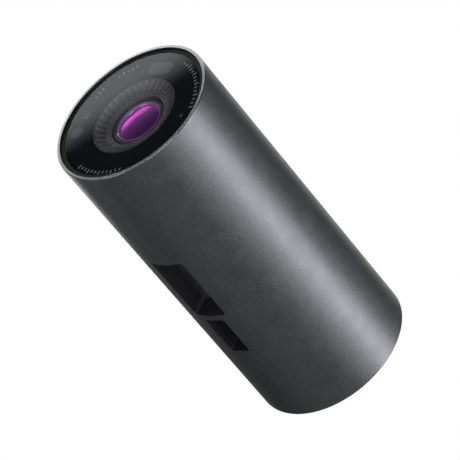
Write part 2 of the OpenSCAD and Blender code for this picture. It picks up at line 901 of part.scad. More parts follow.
module usb_tongue() {
    color("#151517") from_front()
        block(-3.34, 3.34, usb_start + usb_wall, usb_end - 0.9, -0.35, 0.35);
}

module rear_frame() {
    color("#3a3b3f") from_front() difference() {
        rod(0, 0, chassis_r, rear_frame_y, rear_frame_y + rear_frame_t);
        facing(rear_frame_y - cut, rear_frame_y + rear_frame_t + cut)
            stadium(usb_w + 2 * port_gap, usb_h + 2 * port_gap);
        at_bolts(boss_ring_r)
            rod(0, 0, screw_r + 0.2, rear_frame_y - cut, rear_frame_y + rear_frame_t + cut);
    }
}

module rear_cap() {
    color("#131316") from_front() difference() {
        union() {
            rod(0, 0, rear_lip_r - seat_gap, cap_y, cap_y + cap_t);
            rod(0, 0, chassis_r, rear_frame_y + rear_frame_t, cap_y);
        }
        rod(0, 0, chassis_r - cap_skirt_t, rear_frame_y + rear_frame_t - cut, cap_y);
        facing(cap_y - cut, cap_y + cap_t + cut) stadium(usb_w + 2 * port_gap, usb_h + 2 * port_gap);
    }
}

tube_shell();
bezel_ring();
front_glass();
mask_plate();
ir_window();
emitter_window();
presence_window();
status_window();
flute_ring();
front_chassis();
lens_barrel();
lens_retaining_ring();
front_element();
front_spacer();
second_element();
middle_spacer();
third_element();
rear_spacer();
rear_element();
rear_retainer();
lens_carrier();
focus_coil();
focus_magnets();
focus_yoke();
front_leaf_spring();
rear_leaf_spring();
focus_base();
ir_cut_filter();
image_sensor();
sensor_board();
sensor_screws();
sensor_heat_plate();
front_board();
ir_camera();
ir_camera_lens();
ir_emitter();
presence_sensor();
status_led();
light_pipe();
front_flex();
sensor_flex();
dock_tray();
dock_plate();
small_tray();
dock_magnets();
main_board();
board_screws();
board_connectors();
image_processor();
memory_chip();
shield_can();
thermal_pad();
heat_sink();
inner_frame();
frame_screws();
usb_board();
usb_shell();
usb_tongue();
rear_frame();
rear_cap();
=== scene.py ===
import bmesh
import bpy
import numpy as np
from mathutils import Matrix, Vector


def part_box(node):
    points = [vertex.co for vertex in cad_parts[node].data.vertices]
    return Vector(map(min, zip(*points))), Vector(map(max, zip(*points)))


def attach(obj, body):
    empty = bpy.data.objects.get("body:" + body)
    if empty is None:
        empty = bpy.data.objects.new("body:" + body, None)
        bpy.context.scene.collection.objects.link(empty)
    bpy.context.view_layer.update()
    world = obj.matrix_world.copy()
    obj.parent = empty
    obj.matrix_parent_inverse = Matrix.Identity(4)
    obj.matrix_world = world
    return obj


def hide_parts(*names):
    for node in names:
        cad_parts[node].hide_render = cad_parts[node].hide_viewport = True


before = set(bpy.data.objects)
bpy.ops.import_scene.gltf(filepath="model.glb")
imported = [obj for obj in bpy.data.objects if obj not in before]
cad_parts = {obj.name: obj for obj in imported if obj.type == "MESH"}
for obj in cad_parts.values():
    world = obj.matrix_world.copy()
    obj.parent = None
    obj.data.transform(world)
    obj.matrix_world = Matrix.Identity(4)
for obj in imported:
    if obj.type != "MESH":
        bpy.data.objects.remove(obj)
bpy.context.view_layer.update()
mm = 0.001
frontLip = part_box("tube_shell")[0].y  # the pieces' depths are counted from here, in millimetres
print("stage: frame loaded,", len(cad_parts), "nodes")


# helpers for surfaces
def gridQuads(rows, columns, closeRows=False, closeColumns=False):
    # joins point (i, j) of a grid to (i, j+1), (i+1, j+1) and (i+1, j), wrapping where asked
    i, j = np.meshgrid(np.arange(rows if closeRows else rows - 1),
                       np.arange(columns if closeColumns else columns - 1), indexing="ij")
    iNext, jNext = (i + 1) % rows, (j + 1) % columns
    return np.stack([i * columns + j, i * columns + jNext,
                     iNext * columns + jNext, iNext * columns + j], -1).reshape(-1, 4)


def turnedPoints(profile, count):
    # profile point (r, d) at turn a lies at x = r cos a, y = d, z = r sin a
    r, d = np.asarray(profile, float).T
    a = np.arange(count) * 2 * np.pi / count
    return np.stack([np.outer(r, np.cos(a)), np.repeat(d[:, None], count, 1), np.outer(r, np.sin(a))], -1)


def softProfile(corners, steps=5, beyond=0.3):
    # each corner (r, d, fillet) becomes an arc tangent to both sides, and one more point stands a share of
    # the fillet beyond each end of the arc
    c = np.array([k[:2] for k in corners], float)
    points = []
    for k, (here, before, after) in enumerate(zip(c, np.roll(c, 1, 0), np.roll(c, -1, 0))):
        fillet = corners[k][2]
        if fillet <= 0:
            points.append(here[None])
            continue
        u = (before - here) / np.linalg.norm(before - here)
        v = (after - here) / np.linalg.norm(after - here)
        half = np.arccos(np.clip(u @ v, -1, 1)) / 2
        reach = fillet / np.tan(half)
        centre = here + (u + v) / np.linalg.norm(u + v) * fillet / np.sin(half)
        sweep = np.pi - 2 * half
        t = np.linspace(0, 1, steps + 1)[:, None]
        arc = (np.sin((1 - t) * sweep) * (here + u * reach - centre)
               + np.sin(t * sweep) * (here + v * reach - centre)) / np.sin(sweep) + centre
        outer = reach + beyond * fillet
        points += [(here + u * outer)[None], arc, (here + v * outer)[None]]
    return np.concatenate(points)


def nearestOnOutline(points, centre, half, radius):
    # the nearest point of a rounded rectangle is the nearest point of its core plus radius along the way out
    offset = points - centre
    core = np.clip(offset, -(half - radius), half - radius)
    away = offset - core
    away = away / np.linalg.norm(away, axis=-1, keepdims=True)
    return centre + core + away * radius, away


def roundedOutline(half, radius, perCorner, perSide):
    # four quarter arcs of the corners joined by evenly divided sides, with the way out at each point
    quarter = np.linspace(0, np.pi / 2, perCorner)
    points, ways = [], []
    signs = [(1, 1), (-1, 1), (-1, -1), (1, -1)]
    for k, (sx, sy) in enumerate(signs):
        turn = quarter + k * np.pi / 2
        way = np.stack([np.cos(turn), np.sin(turn)], -1)
        corner = np.array([sx * (half[0] - radius), sy * (half[1] - radius)])
        arc = corner + way * radius
        nx, ny = signs[(k + 1) % 4]
        start = np.array([nx * (half[0] - radius), ny * (half[1] - radius)]) + way[-1] * radius
        side = arc[-1] + (start - arc[-1]) * np.linspace(0, 1, perSide + 1)[1:-1, None]
        points += [arc, side]
        ways += [way, np.repeat(way[-1:], len(side), 0)]
    return np.concatenate(points), np.concatenate(ways)


def makePiece(name, parts, body, slotName, replaced=(), sharp=35.0, materials=None):
    # parts are (points in millimetres with y as depth, faces, material number); seams are merged and faces
    # are turned outwards
    points, faces, numbers, base = [], [], [], 0
    for pts, quads, number in parts:
        pts = np.asarray(pts, float).reshape(-1, 3)
        points.append(pts)
        faces.append(np.asarray(quads) + base)
        numbers.append(np.full(len(quads), number))
        base += len(pts)
    points = np.concatenate(points) * mm
    points[:, 1] += frontLip
    mesh = bpy.data.meshes.new(name)
    mesh.from_pydata(points.tolist(), [], np.concatenate(faces).tolist())
    mesh.polygons.foreach_set("material_index", np.concatenate(numbers).astype(np.int32))
    work = bmesh.new()
    work.from_mesh(mesh)
    bmesh.ops.remove_doubles(work, verts=work.verts, dist=1e-7)
    bmesh.ops.recalc_face_normals(work, faces=work.faces)
    work.to_mesh(mesh)
    work.free()
    mesh.polygons.foreach_set("use_smooth", np.ones(len(mesh.polygons), bool))
    mesh.set_sharp_from_angle(angle=np.radians(sharp))
    piece = bpy.data.objects.new(name, mesh)
    bpy.context.scene.collection.objects.link(piece)
    for material in materials or [finishes[slotName]]:
        mesh.materials.append(material)
    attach(piece, body)
    if replaced:
        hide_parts(*replaced)
    return piece


def turnedPiece(name, corners, body, slotName, replaced, count=192):
    # a closed profile with its corners rounded, carried once round the axis
    profile = softProfile(corners)
    faces = gridQuads(len(profile), count, True, True)
    return makePiece(name, [(turnedPoints(profile, count), faces, 0)], body, slotName, replaced)


# shared effects
def newGroup(name, inputs, outputs):
    # an empty node group with its named sockets
    group = bpy.data.node_groups.new(name, "ShaderNodeTree")
    for label, kind, value in inputs:
        socket = group.interface.new_socket(name=label, in_out="INPUT", socket_type=kind)
        socket.default_value = value
    for label, kind in outputs:
        group.interface.new_socket(name=label, in_out="OUTPUT", socket_type=kind)
    return group, group.nodes.new("NodeGroupInput"), group.nodes.new("NodeGroupOutput")


def addNode(tree, kind, links=(), **settings):
    # one node, its settings, and its inputs joined or set by name or number
    node = tree.nodes.new(kind)
    for key, value in settings.items():
        setattr(node, key, value)
    for socket, value in dict(links).items():
        if isinstance(value, bpy.types.NodeSocket):
            tree.links.new(value, node.inputs[socket])
        else:
            node.inputs[socket].default_value = value
    return node


def mixColours(tree, factor, first, second):
    # first (1 - factor) + second factor; the colour sockets of a Mix node are 6, 7 and 2
    return addNode(tree, "ShaderNodeMix", {0: factor, 6: first, 7: second}, data_type="RGBA").outputs[2]


def noiseAt(tree, place, scale, detail=3.0):
    # a noise between 0 and 1 over the object's own coordinates
    node = addNode(tree, "ShaderNodeTexNoise", {"Vector": place, "Scale": scale, "Detail": detail})
    return node.outputs["Fac"]


def rampAt(tree, value, start, end, low=0.0, high=1.0):
    # a straight ramp from low at start to high at end, level beyond them
    node = addNode(tree, "ShaderNodeMapRange", {"Value": value, "From Min": start, "From Max": end,
                                                "To Min": low, "To Max": high})
    return node.outputs[0]


def mathAt(tree, operation, *values):
    # one sum on sockets or numbers
    return addNode(tree, "ShaderNodeMath", dict(enumerate(values)), operation=operation).outputs[0]


colourSocket, floatSocket = "NodeSocketColor", "NodeSocketFloat"
finishInputs = [("Main Colour", colourSocket, (0.1, 0.1, 0.1, 1)),
                ("Second Colour", colourSocket, (0.2, 0.2, 0.2, 1)),
                ("Pattern Scale", floatSocket, 2000.0),
                ("Smoothest", floatSocket, 0.3),
                ("Roughest", floatSocket, 0.5)]
finishOutputs = [("Colour", colourSocket), ("Roughness", floatSocket), ("Height", floatSocket)]


def finishGroup(name, pattern):
    # pattern returns what mixes the two colours, what mixes the two roughnesses, and the height
    group, given, result = newGroup(name, finishInputs, finishOutputs)
    place = addNode(group, "ShaderNodeTexCoord").outputs["Object"]
    tone, gloss, height = pattern(group, place, given.outputs["Pattern Scale"])
    colour = mixColours(group, tone, given.outputs["Main Colour"], given.outputs["Second Colour"])
    rough = rampAt(group, gloss, 0.3, 0.7, given.outputs["Smoothest"], given.outputs["Roughest"])
    for socket, value in (("Colour", colour), ("Roughness", rough), ("Height", height)):
        group.links.new(value, result.inputs[socket])
    return group


def blastPattern(tree, place, scale):
    # fine grain from one noise, and slow clouds from another twelve times as wide
    fine = noiseAt(tree, place, scale, 2.0)
    slow = noiseAt(tree, place, mathAt(tree, "MULTIPLY", scale, 0.08), 4.0)
    speck = rampAt(tree, fine, 0.35, 0.65)
    tone = mathAt(tree, "ADD", mathAt(tree, "MULTIPLY", speck, 0.7), mathAt(tree, "MULTIPLY", slow, 0.3))
    gloss = mathAt(tree, "ADD", mathAt(tree, "MULTIPLY", fine, 0.5), mathAt(tree, "MULTIPLY", slow, 0.5))
    return tone, gloss, fine


def turnedPattern(tree, place, scale):
    # rings from the sine of the distance from the long axis plus the depth, roughened by noise
    parts = addNode(tree, "ShaderNodeSeparateXYZ", {0: place}).outputs
    flat = addNode(tree, "ShaderNodeCombineXYZ", {0: parts[0], 2: parts[2]}).outputs[0]
    radius = addNode(tree, "ShaderNodeVectorMath", {0: flat}, operation="LENGTH").outputs["Value"]
    along = mathAt(tree, "ADD", radius, mathAt(tree, "MULTIPLY", parts[1], 0.7))
    travel = mathAt(tree, "MULTIPLY", along, mathAt(tree, "MULTIPLY", scale, 2 * np.pi))
    wobble = noiseAt(tree, place, scale, 2.0)
    ring = mathAt(tree, "SINE", mathAt(tree, "ADD", travel, mathAt(tree, "MULTIPLY", wobble, 2.5)))
    tone = mathAt(tree, "MULTIPLY_ADD", ring, 0.3, 0.5)
    gloss = mathAt(tree, "MULTIPLY_ADD", ring, 0.15, mathAt(tree, "MULTIPLY", wobble, 0.9))
    return tone, gloss, tone


def brushedPattern(tree, place, scale):
    # noise drawn out along the long axis
    longer = addNode(tree, "ShaderNodeMapping", {"Vector": place, "Scale": (1.0, 0.04, 1.0)}).outputs[0]
    line = noiseAt(tree, longer, scale, 4.0)
    slow = noiseAt(tree, place, mathAt(tree, "MULTIPLY", scale, 0.06), 2.0)
    tone = mathAt(tree, "MULTIPLY_ADD", line, 0.6, mathAt(tree, "MULTIPLY", slow, 0.4))
    return tone, line, line


def boardPattern(tree, place, scale):
    # the edges of cells stand for tracks, and the dots inside them for plated holes
    cells = addNode(tree, "ShaderNodeTexVoronoi", {"Vector": place, "Scale": scale}, distance="MANHATTAN",
                    feature="F1").outputs["Distance"]
    track, hole = rampAt(tree, cells, 0.42, 0.5), rampAt(tree, cells, 0.1, 0.06)
    tone = mathAt(tree, "MAXIMUM", mathAt(tree, "MULTIPLY", track, 0.35), hole)
    return tone, noiseAt(tree, place, scale), tone


beadBlast = finishGroup("beadBlast", blastPattern)
turnedRings = finishGroup("turnedRings", turnedPattern)
brushedLines = finishGroup("brushedLines", brushedPattern)
boardTracks = finishGroup("boardTracks", boardPattern)


def makeMaterial(name, group, main, second, scale, smoothest, roughest, bump, metallic=0.0, **settings):
    # one Principled shader fed by a shared effect; even values are set on the shader itself
    material = bpy.data.materials.new(name)
    material.use_nodes = True
    tree = material.node_tree
    shader = tree.nodes["Principled BSDF"]
    shader.inputs["Metallic"].default_value = metallic
    for key, value in settings.items():
        shader.inputs[key.replace("_", " ")].default_value = value
    effect = addNode(tree, "ShaderNodeGroup", node_tree=group)
    given = {"Main Colour": (*main, 1), "Second Colour": (*second, 1), "Pattern Scale": scale,
             "Smoothest": smoothest, "Roughest": roughest}
    for socket, value in given.items():
        effect.inputs[socket].default_value = value
    tree.links.new(effect.outputs["Colour"], shader.inputs["Base Color"])
    tree.links.new(effect.outputs["Roughness"], shader.inputs["Roughness"])
    raised = addNode(tree, "ShaderNodeBump", {"Strength": 0.5, "Distance": bump * mm,
                                              "Height": effect.outputs["Height"]})
    tree.links.new(raised.outputs[0], shader.inputs["Normal"])
    return material


# name: effect, two colours, pattern scale per metre, smoothest, roughest, bump in mm, metallic
finishTable = {
    "tube": (beadBlast, (0.080, 0.083, 0.092), (0.150, 0.154, 0.166), 3200, 0.40, 0.54, 0.016, 1.0),
    "tubeEdge": (beadBlast, (0.110, 0.113, 0.122), (0.130, 0.133, 0.143), 3200, 0.26, 0.30, 0.0002, 1.0),
    "tubeLip": (beadBlast, (0.50, 0.505, 0.52), (0.54, 0.545, 0.56), 3000, 0.16, 0.18, 0.00002, 1.0),
    "black_plastic": (beadBlast, (0.006, 0.006, 0.007), (0.012, 0.012, 0.014), 5000, 0.42, 0.56, 0.006),
    "bezel_black": (turnedRings, (0.006, 0.006, 0.007), (0.010, 0.010, 0.012), 2500, 0.42, 0.52, 0.0004),
    "mask_black": (beadBlast, (0.015, 0.016, 0.020), (0.017, 0.018, 0.022), 3000, 0.35, 0.45, 0.001),
    "window_tint": (beadBlast, (0.090, 0.092, 0.099), (0.100, 0.102, 0.109), 3000, 0.45, 0.60, 0.001),
    "flute_black": (beadBlast, (0.086, 0.087, 0.093), (0.095, 0.096, 0.102), 2500, 0.28, 0.33, 0.0002),
    "lens_metal": (turnedRings, (0.055, 0.057, 0.059), (0.064, 0.066, 0.068), 2500, 0.32, 0.40, 0.0002, 0.3),
    "dock_metal": (brushedLines, (0.20, 0.205, 0.215), (0.27, 0.275, 0.285), 2600, 0.34, 0.46, 0.003, 1.0),
    "magnet_plate": (brushedLines, (0.50, 0.50, 0.49), (0.62, 0.62, 0.60), 2000, 0.22, 0.34, 0.002, 1.0),
    "yoke_steel": (brushedLines, (0.42, 0.42, 0.43), (0.52, 0.52, 0.53), 2400, 0.30, 0.42, 0.003, 1.0),
    "coil_copper": (turnedRings, (0.55, 0.22, 0.10), (0.72, 0.33, 0.16), 9000, 0.25, 0.40, 0.012, 1.0),
    "spring_metal": (brushedLines, (0.48, 0.45, 0.38), (0.60, 0.56, 0.48), 3000, 0.24, 0.36, 0.002, 1.0),
    "circuit_board": (boardTracks, (0.010, 0.060, 0.045), (0.36, 0.30, 0.12), 900, 0.32, 0.46, 0.010),
    "chip_black": (beadBlast, (0.012, 0.012, 0.013), (0.022, 0.022, 0.023), 6000, 0.46, 0.62, 0.006),
    "sensor_silicon": (boardTracks, (0.055, 0.045, 0.085), (0.16, 0.10, 0.22), 1800, 0.12, 0.22, 0.001, 0.6),
    "connector_ivory": (beadBlast, (0.60, 0.55, 0.42), (0.66, 0.61, 0.48), 4000, 0.42, 0.55, 0.004),
    "flex_amber": (brushedLines, (0.32, 0.13, 0.015), (0.48, 0.22, 0.04), 1800, 0.28, 0.40, 0.003),
    "screw_steel": (turnedRings, (0.40, 0.41, 0.42), (0.52, 0.53, 0.54), 8000, 0.24, 0.36, 0.003, 1.0),
    "heat_metal": (brushedLines, (0.34, 0.35, 0.36), (0.44, 0.45, 0.46), 2200, 0.32, 0.46, 0.004, 1.0),
    "thermal_pad": (beadBlast, (0.26, 0.32, 0.40), (0.32, 0.38, 0.46), 2400, 0.62, 0.80, 0.010),
    "frame_black": (beadBlast, (0.010, 0.010, 0.011), (0.018, 0.018, 0.020), 4200, 0.44, 0.60, 0.008),
    "socket_steel": (brushedLines, (0.48, 0.49, 0.50), (0.58, 0.59, 0.60), 3200, 0.22, 0.34, 0.002, 1.0),
    "diffuser": (beadBlast, (0.55, 0.56, 0.58), (0.62, 0.63, 0.65), 3000, 0.35, 0.50, 0.002),
    "coatedBand": (beadBlast, (0.42, 0.20, 0.53), (0.48, 0.23, 0.59), 900, 0.14, 0.20, 0.0002, 0.3),
    "printInk": (beadBlast, (0.26, 0.265, 0.275), (0.30, 0.305, 0.315), 5000, 0.55, 0.70, 0.001),
}
finishes = {name: makeMaterial(name, *values) for name, values in finishTable.items()}
# what is bonded to the glass has no shine of its own, and what stands behind it has little
shine = dict(mask_black=0.0, window_tint=0.0, printInk=0.0, bezel_black=0.2, flute_black=0.25, lens_metal=0.3)
for name, level in shine.items():
    finishes[name].node_tree.nodes["Principled BSDF"].inputs["Specular IOR Level"].default_value = level


def makeGlass(name, tint, deeper, roughness, index):
    # clear glass with a slow change of tint; lamps shine through it by a clear stand-in for shadow rays
    material = makeMaterial(name, beadBlast, tint, deeper, 900, roughness, roughness + 0.01, 0.0005,
                            Transmission_Weight=1.0, IOR=index)
    tree = material.node_tree
    shader, out = tree.nodes["Principled BSDF"], tree.nodes["Material Output"]
    clear = addNode(tree, "ShaderNodeBsdfTransparent", {"Color": (*tint, 1)})
    path = addNode(tree, "ShaderNodeLightPath")
    both = addNode(tree, "ShaderNodeMixShader", {0: path.outputs["Is Shadow Ray"], 1: shader.outputs[0],
                                                 2: clear.outputs[0]})
    tree.links.new(both.outputs[0], out.inputs["Surface"])
    return material


pane = dict(mirror=(0.92, 0.94, 1.0), second=(0.90, 0.92, 0.98), through=(0.97, 0.97, 0.98), index=1.5)


def clearPane():
    # the Fresnel share of the light is mirrored at the outer face, and the rest goes straight on
    material = makeMaterial("cover_glass", beadBlast, pane["mirror"], pane["second"], 900, 0.0, 0.01, 0.0001,
                            metallic=1.0)
    tree = material.node_tree
    shader, out = tree.nodes["Principled BSDF"], tree.nodes["Material Output"]
    mirrored = addNode(tree, "ShaderNodeFresnel", {"IOR": pane["index"]}).outputs[0]
    outside = mathAt(tree, "SUBTRACT", 1.0, addNode(tree, "ShaderNodeNewGeometry").outputs["Backfacing"])
    clear = addNode(tree, "ShaderNodeBsdfTransparent", {"Color": (*pane["through"], 1)})
    share = mathAt(tree, "MULTIPLY", mirrored, outside)
    both = addNode(tree, "ShaderNodeMixShader", {0: share, 1: clear.outputs[0], 2: shader.outputs[0]})
    tree.links.new(both.outputs[0], out.inputs["Surface"])
    return material


finishes["cover_glass"] = clearPane()
finishes["clear_glass"] = makeGlass("clear_glass", (0.96, 0.98, 0.97), (0.90, 0.95, 0.93), 0.0, 1.6)
finishes["filter_glass"] = makeGlass("filter_glass", (0.55, 0.86, 0.88), (0.42, 0.74, 0.84), 0.0, 1.5)

# deep is a painted shade colour for where the lens faces the eye; rim is a magenta that is partly the
# coating's own tint and partly a painted sheen
coating = dict(middle=(0.21, 0.060, 0.285), slow=(0.19, 0.052, 0.26), deep=(0.095, 0.028, 0.13),
               rim=(0.80, 0.045, 0.64), paintedShadeEnds=(0.40, 0.47), paintedSheenStarts=(0.488, 0.524), middleMetal=0.0,
               rimMetal=0.40, smoothest=0.08, roughest=0.11)


def coatedGlass():
    # a violet coating whose colour follows the facing: deeper where it faces the eye, which is painted shade,
    # and magenta and more mirrored where it turns away, which is partly the coating's own tint and partly a
    # painted sheen
    material = makeMaterial("coated_glass", beadBlast, coating["middle"], coating["slow"], 700,
                            coating["smoothest"], coating["roughest"], 0.0002, Specular_IOR_Level=0.05)
    tree = material.node_tree
    shader = tree.nodes["Principled BSDF"]
    turned = addNode(tree, "ShaderNodeLayerWeight", {"Blend": 0.5}).outputs["Facing"]

    plain = shader.inputs["Base Color"].links[0].from_socket
    # painted sheen: the share of magenta where the lens turns away from the eye
    paintedSheenShare = rampAt(tree, turned, *coating["paintedSheenStarts"])
    # painted shade: the deep colour where the lens faces the eye
    colour = mixColours(tree, rampAt(tree, turned, *coating["paintedShadeEnds"]), (*coating["deep"], 1), plain)
    tree.links.new(mixColours(tree, paintedSheenShare, colour, (*coating["rim"], 1)), shader.inputs["Base Color"])
    metal = mathAt(tree, "MULTIPLY_ADD", paintedSheenShare, coating["rimMetal"] - coating["middleMetal"],
                   coating["middleMetal"])
    tree.links.new(metal, shader.inputs["Metallic"])
    return material


finishes["coated_glass"] = coatedGlass()
for name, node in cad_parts.items():
    slotName = node.data.materials[0].name.split(".")[0]
    node.data.materials[0] = finishes[slotName]
print("stage: finishes made,", len(finishes))

# tube with its two wells
tube = dict(wall=1.8, lipWidth=0.85, rearLipWidth=1.0, lipFillet=0.16, innerFillet=0.08, lipBand=0.06,
            edgeBand=0.25, plainEnd=0.8, columns=216, frontRows=16, rearRows=14, boreRows=8)
wellShape = dict(largeCorner=1.05, smallCorner=0.85, rimFillet=0.09, rimSpread=1.3, border=1.45, spacing=0.62,
                 patchRows=4, arcSteps=6, wallRows=4)
seatGap = 0.05  # round the plate
trayWall = 0.8  # of both wells' linings
capThick = 1.8  # of the rear cap's face


def depthBox(node):
    # lowest and highest corner of a node in millimetres, with y as depth
    low, high = (np.array(v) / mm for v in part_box(node))
    low[1] -= frontLip / mm
    high[1] -= frontLip / mm
    return low, high


tubeR, tubeLen = depthBox("tube_shell")[1][:2]
plateLow, plateHigh = depthBox("dock_plate")
trayLow, trayHigh = depthBox("small_tray")
wells = [dict(centre=np.array([0, (plateLow[1] + plateHigh[1]) / 2]), radius=wellShape["largeCorner"],
              half=np.array([plateHigh[0] + seatGap, (plateHigh[1] - plateLow[1]) / 2 + seatGap]),
              floor=plateLow[2]),
         dict(centre=np.array([0, (trayLow[1] + trayHigh[1]) / 2]), radius=wellShape["smallCorner"],
              half=np.array([trayHigh[0] - trayWall, (trayHigh[1] - trayLow[1]) / 2 - trayWall]),
              floor=trayHigh[2] - trayWall)]
boreR, lipR, rearLipR = tubeR - tube["wall"], tubeR - tube["lipWidth"], tubeR - tube["rearLipWidth"]
capDepth, bezelBack = depthBox("rear_cap")[1][1] - capThick, depthBox("bezel_ring")[1][1]


def wellLines():
    # depths of the grid lines over the wells: the border lines of both wells, and even steps between them
    first, second = wells
    border = wellShape["border"]
    edges = [first["centre"][1] - first["half"][1] - border,
             (first["centre"][1] + first["half"][1] + second["centre"][1] - second["half"][1]) / 2,
             second["centre"][1] + second["half"][1] + border]
    return [np.linspace(a, b, int((b - a) / wellShape["spacing"]) + 1) for a, b in zip(edges, edges[1:])]


def tubeProfile(middle):
    # front lip, outside, rear lip and bore as one closed line of points (r, d), and the numbers of its first
    # rows over the wells, outside and in the bore
    near, far = tube["plainEnd"], tubeLen - tube["plainEnd"]
    outerDepths = np.concatenate([np.linspace(near, middle[0], tube["frontRows"])[:-1], middle,
                                  np.linspace(middle[-1], far, tube["rearRows"])[1:]])
    innerDepths = np.concatenate([np.linspace(capDepth, middle[-1], tube["boreRows"])[:-1], middle[::-1],
                                  np.linspace(middle[0], bezelBack, tube["boreRows"])[1:]])
    outside, inside = tube["lipFillet"], tube["innerFillet"]
    frontEdge = softProfile([(lipR, bezelBack, 0), (lipR, 0, inside), (tubeR, 0, outside), (tubeR, near, 0)])
    rearEdge = softProfile([(tubeR, far, 0), (tubeR, tubeLen, outside), (rearLipR, tubeLen, inside),
                            (rearLipR, capDepth, 0)])
    frontEdge, rearEdge = frontEdge[1:-1], rearEdge[1:-1]
    outer = np.stack([np.full(len(outerDepths), tubeR), outerDepths], -1)
    inner = np.stack([np.full(len(innerDepths), boreR), innerDepths], -1)
    profile = np.concatenate([[[lipR, bezelBack]], frontEdge, outer, rearEdge, [[rearLipR, capDepth]], inner])
    outerStart = len(frontEdge) + tube["frontRows"]
    innerStart = len(profile) - len(innerDepths) + tube["boreRows"] - 1
    return profile, outerStart, innerStart


def onTube(plan, radius, lift=0.0):
    # the underside at a plan point (x, depth): z = lift - sqrt(radius^2 - x^2)
    return np.concatenate([plan, lift - np.sqrt(radius ** 2 - plan[:, :1] ** 2)], 1)


def wellPatch(pts, well, topRow, innerLast, steps, columns):
    # rings from the border of the missing cells in to the well's outline, over an arc, down the wall, and out
    # to the border in the bore; gives the plain part and the black wall
    n, m = steps, len(columns) - 1
    rowWalk = np.concatenate([np.zeros(m, int), np.arange(n), np.full(m, n), np.arange(n, 0, -1)])
    colWalk = np.concatenate([np.arange(m), np.full(n, m), np.arange(m, 0, -1), np.zeros(n, int)])
    outerEdge = pts[topRow + rowWalk, columns[colWalk]]
    innerEdge = pts[innerLast - rowWalk, columns[colWalk]]
    onOutline, way = nearestOnOutline(outerEdge[:, :2], well["centre"], well["half"], well["radius"])
    away = np.linalg.norm(outerEdge[:, :2] - onOutline, axis=1)
    rim = wellShape["rimFillet"]
    start = rim * wellShape["rimSpread"]
    rings, labels = [outerEdge], []
    for t in np.linspace(0, 1, wellShape["patchRows"] + 1)[1:]:
        reach = away * (1 - t) + start * t
        rings.append(onTube(onOutline + way * reach[:, None], tubeR))
        labels.append(0)
    for turn in np.linspace(0, np.pi / 2, wellShape["arcSteps"]):
        rings.append(onTube(onOutline + way * rim * (1 - np.sin(turn)), tubeR, rim * (1 - np.cos(turn))))
        labels.append(0)
    top, bottom = onTube(onOutline, tubeR, start), onTube(onOutline, boreR)
    for t in np.linspace(0, 1, wellShape["wallRows"]):
        rings.append(top * (1 - t) + bottom * t)
        labels.append(2)
    rings += [onTube((bottom[:, :2] + innerEdge[:, :2]) / 2, boreR), innerEdge]
    labels += [0, 0]
    quads = gridQuads(len(rings), len(rowWalk), False, True).reshape(len(labels), -1, 4)
    return [(np.stack(rings), quads[np.array(labels) == number].reshape(-1, 4), number) for number in (0, 2)]


def tubeBody():
    # a closed profile goes round the axis; under each well the cells are left out and a patch fills the gap
    firstLines, secondLines = wellLines()
    middle = np.concatenate([firstLines, secondLines[1:]])
    profile, outerStart, innerStart = tubeProfile(middle)
    rows, count = len(profile), tube["columns"]
    pts = turnedPoints(profile, count)
    quads = gridQuads(rows, count, True, True).reshape(rows, count, 4)
    keep = np.ones((rows, count), bool)
    down = count * 3 // 4  # the column that points straight down
    patches = []
    for well, lines, skip in ((wells[0], firstLines, 0), (wells[1], secondLines, len(firstLines) - 1)):
        reach = np.arcsin((well["half"][0] + wellShape["border"]) / tubeR)
        span = int(np.ceil(reach / (2 * np.pi / count)))
        columns, steps = np.arange(down - span, down + span + 1), len(lines) - 1
        topRow, innerLast = outerStart + skip, innerStart + len(middle) - 1 - skip
        keep[topRow:topRow + steps, columns[0]:columns[-1]] = False
        keep[innerLast - steps:innerLast, columns[0]:columns[-1]] = False
        patches += wellPatch(pts, well, topRow, innerLast, steps, columns)
    midR, midDepth = ((profile + np.roll(profile, -1, 0)) / 2).T
    isLip = (midDepth < tube["lipBand"]) & (midR > lipR + tube["lipBand"])
    isEdge = (midDepth < tube["edgeBand"]) & ~isLip
    number = np.where(isLip, 1, np.where(isEdge, 3, 0))[:, None].repeat(count, 1)
    parts = [(pts, quads[keep & (number == k)], k) for k in (0, 1, 3)] + patches
    return makePiece("tubeBody", parts, "camera_body", "tube", ["tube_shell"],
                     materials=[finishes[k] for k in ("tube", "tubeLip", "black_plastic", "tubeEdge")])


tubeBody()
print("stage: tube made")

# wells' linings and the plate
lining = dict(floorFillet=0.35, outerFillet=0.4, floorBehind=0.6, gap=0.05, beyond=0.4, perCorner=9,
              perSide=10)


def wellLining(name, well, node, behind):
    # the profile of the wall goes round the well's outline, and both its ends close at the middle; a height
    # of None stands for the bore that the wall meets
    outline, way = roundedOutline(well["half"], well["radius"], lining["perCorner"], lining["perSide"])
    outline = outline + well["centre"]
    top, f, g = well["floor"] + behind, lining["floorFillet"], lining["outerFillet"]
    back, beyond, turns = top + trayWall, 1 + lining["beyond"], np.linspace(0, np.pi / 2, 5)
    inner = [(0.0, None), (0.0, top - f)]
    inner += [(-f * (1 - np.cos(a)), top - f + f * np.sin(a)) for a in turns[1:]] + [(-f * beyond, top)]
    outer = [(trayWall - g * beyond, back)]
    outer += [(trayWall - g + g * np.sin(a), back - g + g * np.cos(a)) for a in turns] + [(trayWall, None)]

    def ringAt(reach, height):
        plan = outline + way * reach
        if height is None:
            return onTube(plan, boreR - lining["gap"])
        return np.concatenate([plan, np.full((len(plan), 1), height)], 1)

    middle = [np.tile([*well["centre"], height], (len(outline), 1)) for height in (top, back)]
    rings = np.stack([ringAt(*point) for point in inner] + middle + [ringAt(*point) for point in outer])
    return makePiece(name, [(rings, gridQuads(len(rings), len(outline), True, True), 0)], "camera_body",
                     "black_plastic", [node])


wellLining("largeWellLining", wells[0], "dock_tray", lining["floorBehind"])
wellLining("smallWellLining", wells[1], "small_tray", 0.0)

plate = dict(edgeFillet=0.12, beyond=0.5, perCorner=9, perSide=10)


